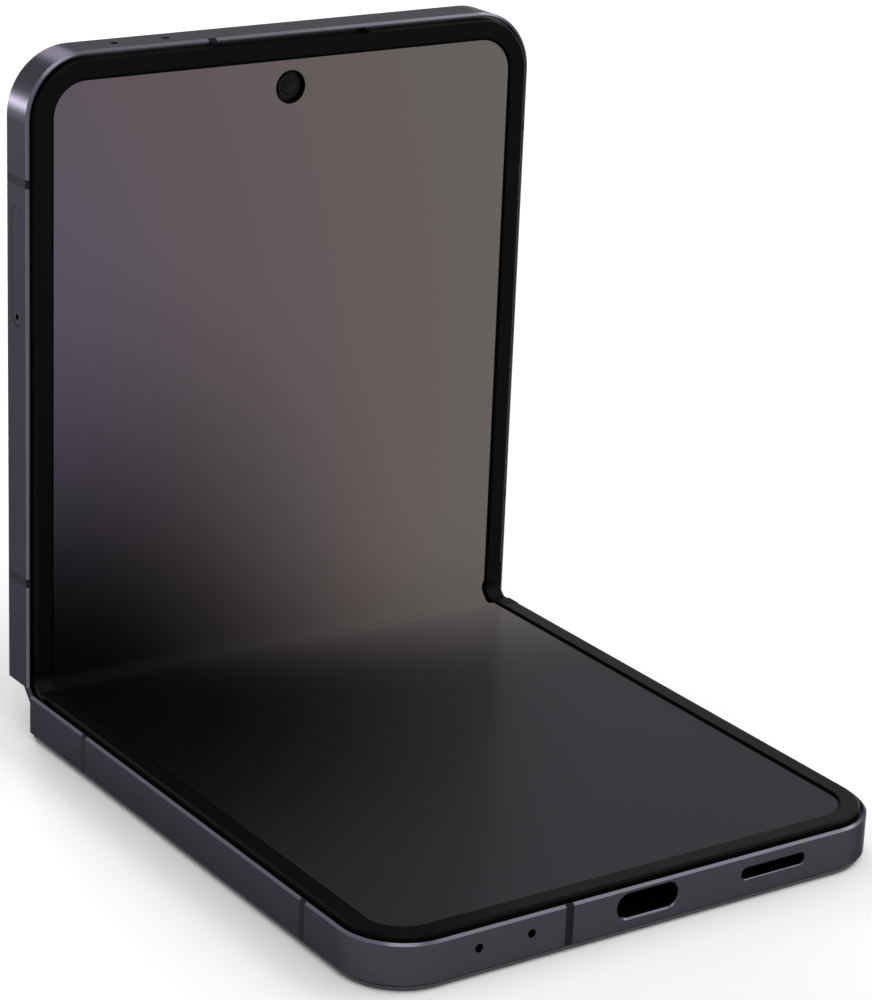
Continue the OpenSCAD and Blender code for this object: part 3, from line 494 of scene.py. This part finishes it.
def turned(point, axis, angle):
    # point is y and z, turned about an axis along x
    dy, dz = point[0] - axis.y, point[1] - axis.z
    return (axis.y + math.cos(angle) * dy - math.sin(angle) * dz,
            axis.z + math.sin(angle) * dy + math.cos(angle) * dz)


middle = turned((foldY, lowerFaceZ), lowerAxis, restTurn)
lowerEnds = ((foldY - bend, lowerFaceZ), middle)
upperEnds = ((upperFaceY, upperFoldZ + bend), middle)


def bentPoint(s, n, half):
    # s from the fold line and n above the display face, in metres; returns y and z at rest
    if half == "lower":
        flat, axis, angle = (foldY - s, lowerFaceZ + n), lowerAxis, restTurn
        start, end = lowerEnds
    else:
        flat, axis, angle = (upperFaceY - n, upperFoldZ + s), upperAxis, -restTurn
        start, end = upperEnds
    dy, dz = end[0] - start[0], end[1] - start[1]
    share, point = 0.0, flat
    for _ in range(stripLook["steps"]):
        t = ((point[0] - start[0]) * dy + (point[1] - start[1]) * dz) / (dy * dy + dz * dz)
        share = 0.5 * share + 0.5 * eased(min(1.0, max(0.0, t)))
        point = turned(flat, axis, share * angle)
    return point


def bentStrip(name, x0, x1, look, half, material):
    # A closed strip over the bend, from x0 to x1 in mm
    rows, columns = stripLook["rows"], look["columns"]
    verts, faces, sheet = [], [], []
    for level in (look["high"], look["low"]):
        for j in range(rows + 1):
            s = look["reach"] * j / rows
            near = max(0.0, 1 - s / displayLook["bend"])
            lift = look["rise"] * eased(near) if level == look["high"] else 0
            y, z = bentPoint(s * mm, (level + lift) * mm, half)
            for i in range(columns + 1):
                x = x0 + (x1 - x0) * i / columns
                verts.append((middleX + x * mm, y, z))
                sheet.append((x, s if half == "upper" else -s))
    across = columns + 1
    layer = across * (rows + 1)
    for j in range(rows):
        for i in range(columns):
            a = j * across + i
            faces.append((a, a + 1, a + across + 1, a + across))
            faces.append((layer + a, layer + a + across, layer + a + across + 1, layer + a + 1))
    for i in range(columns):
        for a, flip in ((i, False), (rows * across + i, True)):
            ring = (a + 1, a, layer + a, layer + a + 1)
            faces.append(ring[::-1] if flip else ring)
    for j in range(rows):
        for a, flip in ((j * across, False), (j * across + columns, True)):
            ring = (a, a + across, layer + a + across, layer + a)
            faces.append(ring[::-1] if flip else ring)
    mesh = bpy.data.meshes.new(name)
    mesh.from_pydata(verts, [], faces)
    uv = mesh.uv_layers.new(name="sheet")
    for loop in mesh.loops:
        uv.data[loop.index].uv = sheet[loop.vertex_index]
    mesh.materials.append(material)
    mesh.shade_smooth()
    mesh.set_sharp_from_angle(angle=math.radians(stripLook["sharpFrom"]))
    strip = addObject(name, mesh)
    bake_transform(strip)
    return strip


displayEdge = displayLook["across"] / 2 - displayLook["edge"]
for half in ("lower", "upper"):
    strip = bentStrip(half + "DisplayBend", -displayEdge, displayEdge, bendLook, half, litFold)
    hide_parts("display_fold")
    for side, sign in (("Left", -1), ("Right", 1)):
        ends = sorted((sign * guardLook["inner"], sign * guardLook["outer"]))
        guard = bentStrip(half + side + "Guard", *ends, guardLook, half, foldRubber)
        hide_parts("fold_guards")
print("display and guards ready")


# Inner parts, the socket, the camera rings and the lamp; sizes and depths of grain in mm

innerLook = {
    # Stamped and sintered steel: cool grey with a fine mottle
    "sinteredSteel": {
        "surface": {"Metallic": 1.0},
        "size": 0.1, "depth": 0.003,
        "colours": ("#8f8f92", "#9d9da0"), "roughness": (0.3, 0.42),
        "parts": ("lower_support_plate", "upper_support_plate", "gear_shafts", "disc_springs",
                  "lower_timing_arm", "lower_idler", "upper_idler", "upper_timing_arm",
                  "lower_hinge_screws", "upper_hinge_screws", "lower_magnets", "upper_magnets",
                  "vibration_motor", "lower_microphones", "upper_microphones", "earpiece"),
    },
    # The same steel coloured near black as painted shade, so that the hinge stays dark between the
    # halves
    "hingeSteelPaintedShade": {
        "surface": {"Metallic": 1.0, "Specular_Tint": "#6c6c70"},
        "size": 0.1, "depth": 0.003,
        "colours": ("#1f1f22", "#27272b"), "roughness": (0.36, 0.46),
        "parts": ("left_hinge_base", "right_hinge_base", "lower_rotators", "upper_rotators",
                  "gear_bracket", "lower_rail", "upper_rail"),
    },
    # Drawn steel of the socket, coloured near black as painted shade: almost no light comes back
    # out of its deep opening
    "socketSteelPaintedShade": {
        "surface": {"Metallic": 1.0},
        "size": 0.1, "depth": 0.002,
        "colours": ("#121213", "#171718"), "roughness": (0.35, 0.45),
        "parts": ("charging_port",),
    },
    # Aluminium laminate pouch of the cells: dark and half metallic, with slight dents
    "cellPouchFoil": {
        "surface": {"Metallic": 0.3},
        "size": 1.2, "depth": 0.02,
        "colours": ("#26262a", "#2e2e33"), "roughness": (0.4, 0.5),
        "parts": ("lower_battery", "upper_battery"),
    },
    # Solder mask over copper: deep green under a thin gloss
    "greenSolderMask": {
        "surface": {"Coat_Weight": 0.3},
        "size": 0.6, "depth": 0.01,
        "colours": ("#10281c", "#173523"), "roughness": (0.35, 0.5),
        "parts": ("charging_board", "main_board", "key_switches"),
    },
    # Moulded liquid crystal polymer of the modules: matt black
    "mouldedModulePolymer": {
        "size": 0.2, "depth": 0.004,
        "colours": ("#111113", "#18181a"), "roughness": (0.45, 0.6),
        "parts": ("loudspeaker", "camera_modules"),
    },
    # Turned and anodised aluminium rings: brighter and smoother than the blasted frames
    "turnedAnodisedRing": {
        "surface": {"Metallic": 0.95},
        "size": 0.06, "depth": 0.002,
        "colours": ("#55545d", "#605f69"), "roughness": (0.22, 0.3),
        "parts": ("camera_rings",),
    },
    # Frosted polycarbonate over the lamp: warm white with a soft gloss
    "frostedPolycarbonate": {
        "surface": {"Coat_Weight": 0.4},
        "size": 0.3, "depth": 0.01,
        "colours": ("#d8d2bf", "#e6e1d0"), "roughness": (0.3, 0.4),
        "parts": ("flash_lens",),
    },
}

for name, look in innerLook.items():
    plainSurface(name, look)


# Front camera behind the display's round opening: a black barrel with rings and a small domed lens

lensLook = {
    "opening": 2.0,       # radius in mm
    "surface": {"Roughness": 0.35, "Specular_IOR_Level": 0.1},
    # shares of the opening's radius
    "rings": [(0.0, "#1b1d1c"), (0.30, "#161817"), (0.34, "#070807"), (0.52, "#0b0d0b"),
              (0.56, "#151815"), (0.62, "#070807"), (0.78, "#040404")],
    "domeRadius": 1.15,   # mm
    "domeHeight": 0.3,
    "domeRings": 10,
    "domeSides": 48,
}

# Black anodised barrel, turned in steps, so it shows as faint rings round the lens
turnedBarrel, tree, shader = newMaterial("turnedBlackBarrel", **lensLook["surface"])
place = addNode(tree, "ShaderNodeTexCoord")
distance = addNode(tree, "ShaderNodeVectorMath", {0: place.outputs["Object"], 1: cameraCentre},
                   operation="DISTANCE")
ring = addNode(tree, "ShaderNodeMath", {0: distance.outputs["Value"], 1: lensLook["opening"] * mm},
               operation="DIVIDE")
rings = addNode(tree, "ShaderNodeValToRGB", {"Fac": ring.outputs[0]}, lensLook["rings"])
tree.links.new(rings.outputs["Color"], shader.inputs["Base Color"])
dress(turnedBarrel, "front_camera")

verts = [(cameraCentre.x, cameraCentre.y - lensLook["domeHeight"] * mm, cameraCentre.z)]
faces = []
sides = lensLook["domeSides"]
for i in range(1, lensLook["domeRings"] + 1):
    angle = math.pi / 2 * i / lensLook["domeRings"]
    ringRadius = lensLook["domeRadius"] * math.sin(angle) * mm
    ringHeight = lensLook["domeHeight"] * math.cos(angle) * mm
    for j in range(sides):
        around = 2 * math.pi * j / sides
        verts.append((cameraCentre.x + ringRadius * math.cos(around), cameraCentre.y - ringHeight,
                      cameraCentre.z + ringRadius * math.sin(around)))
        here, beside = (i - 1) * sides + 1 + j, (i - 1) * sides + 1 + (j + 1) % sides
        if i == 1:
            faces.append((0, here, beside))
        else:
            faces.append((here - sides, here, beside, beside - sides))
domeMesh = bpy.data.meshes.new("frontLens")
domeMesh.from_pydata(verts, [], faces)
domeMesh.shade_smooth()
dome = addObject("frontLens", domeMesh)
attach(dome, "upper")

groundGlassLook = {
    "surface": {"Specular_IOR_Level": 0.06},
    "size": 2,        # mm
    "depth": 0.0,
    "detail": 1.0,
    "colours": ("#0c0e0d", "#121514"),
    "roughness": (0.12, 0.16),
}

# Ground lens glass with a coating that takes away most of its glare
domeMesh.materials.append(plainSurface("coatedGroundGlass", groundGlassLook))
print("materials ready")


# Floor, backdrop light and lamps

studio = {
    "floor": "#fafafa",
    "floorSurface": {"Roughness": 0.9, "Specular_IOR_Level": 0.05},
    "floorHalf": 6.0,      # metres from the middle to the floor's sides
    "floorDrop": 0.00001,  # metres under the part, so that the two don't share a face
    "fadeFrom": 0.5,       # metres from the middle over which the floor turns to plain white
    "fadeTo": 1.3,
    "faded": "#000000",    # base colour out there, where the floor only glows
    "world": "#ffffff",
    "worldLight": 0.66,    # for the light on the object; it shows as plain white
    "aim": (0, 0, 0.04),   # metres, where the lamps point
    "lamps": {             # place, width and height in metres, power in watts
        "keyLamp": {"place": (1.9, -0.4, 1.7), "size": (1.2, 1.2), "power": 16.0},
        "chamferLamp": {"place": (1.1, -0.9, 1.4), "size": (0.6, 0.6), "power": 1.0},
        "topLamp": {"place": (-0.4, -0.9, 2.1), "size": (1.4, 1.4), "power": 12.0},
        "backLeftLamp": {"place": (-0.72, 1.28, 0.1), "size": (0.6, 0.16), "power": 9.0},
        "backRightLamp": {"place": (0.27, 1.4, 0.83), "size": (0.45, 0.45), "power": 6.0},
    },
}

# Matt white paper: it keeps the soft shadow and turns to plain white further out
floorMaterial, tree, shader = newMaterial("paleStudioFloor", Emission_Color=studio["world"],
                                          **studio["floorSurface"])
place = addNode(tree, "ShaderNodeTexCoord")
away = addNode(tree, "ShaderNodeVectorMath", {0: place.outputs["Object"]}, operation="LENGTH")
fade = addNode(tree, "ShaderNodeMapRange", {"Value": away.outputs["Value"],
                                            "From Min": studio["fadeFrom"],
                                            "From Max": studio["fadeTo"]})
paint = addNode(tree, "ShaderNodeMix", {0: fade.outputs["Result"], 6: hexColour(studio["floor"]),
                                        7: hexColour(studio["faded"])}, data_type="RGBA")
tree.links.new(paint.outputs[2], shader.inputs["Base Color"])
tree.links.new(fade.outputs["Result"], shader.inputs["Emission Strength"])
size = studio["floorHalf"]
floorMesh = bpy.data.meshes.new("studioFloor")
floorCorners = [(-size, -size, 0), (size, -size, 0), (size, size, 0), (-size, size, 0)]
floorMesh.from_pydata(floorCorners, [], [(0, 1, 2, 3)])
floorMesh.materials.append(floorMaterial)
floor = addObject("studioFloor", floorMesh)
floor.location.z = cadBounds[0][2] - studio["floorDrop"]

world = bpy.data.worlds.new("paleStudio")
bpy.context.scene.world = world
world.use_nodes = True
tree = world.node_tree
backdrop = tree.nodes["Background"]
backdrop.inputs["Color"].default_value = hexColour(studio["world"])
# Seen straight, mirrored or through glass, the world is white; it lights the part with less
ray = addNode(tree, "ShaderNodeLightPath")
glossy = addNode(tree, "ShaderNodeMath", {0: ray.outputs["Is Camera Ray"],
                                          1: ray.outputs["Is Glossy Ray"]}, operation="MAXIMUM")
seen = addNode(tree, "ShaderNodeMath", {0: glossy.outputs[0],
                                        1: ray.outputs["Is Transmission Ray"]},
               operation="MAXIMUM")
strength = addNode(tree, "ShaderNodeMapRange", {"Value": seen.outputs[0],
                                                "To Min": studio["worldLight"], "To Max": 1.0})
tree.links.new(strength.outputs["Result"], backdrop.inputs["Strength"])

for name, lamp in studio["lamps"].items():
    light = bpy.data.lights.new(name, "AREA")
    light.shape = "RECTANGLE"
    light.size, light.size_y = lamp["size"]
    light.energy = lamp["power"]
    lampObject = addObject(name, light)
    lampObject.location = lamp["place"]
    aim = Vector(studio["aim"]) - lampObject.location
    lampObject.rotation_euler = aim.to_track_quat("-Z", "Y").to_euler()

bpy.context.scene.view_settings.view_transform = "Standard"
print("studio ready")
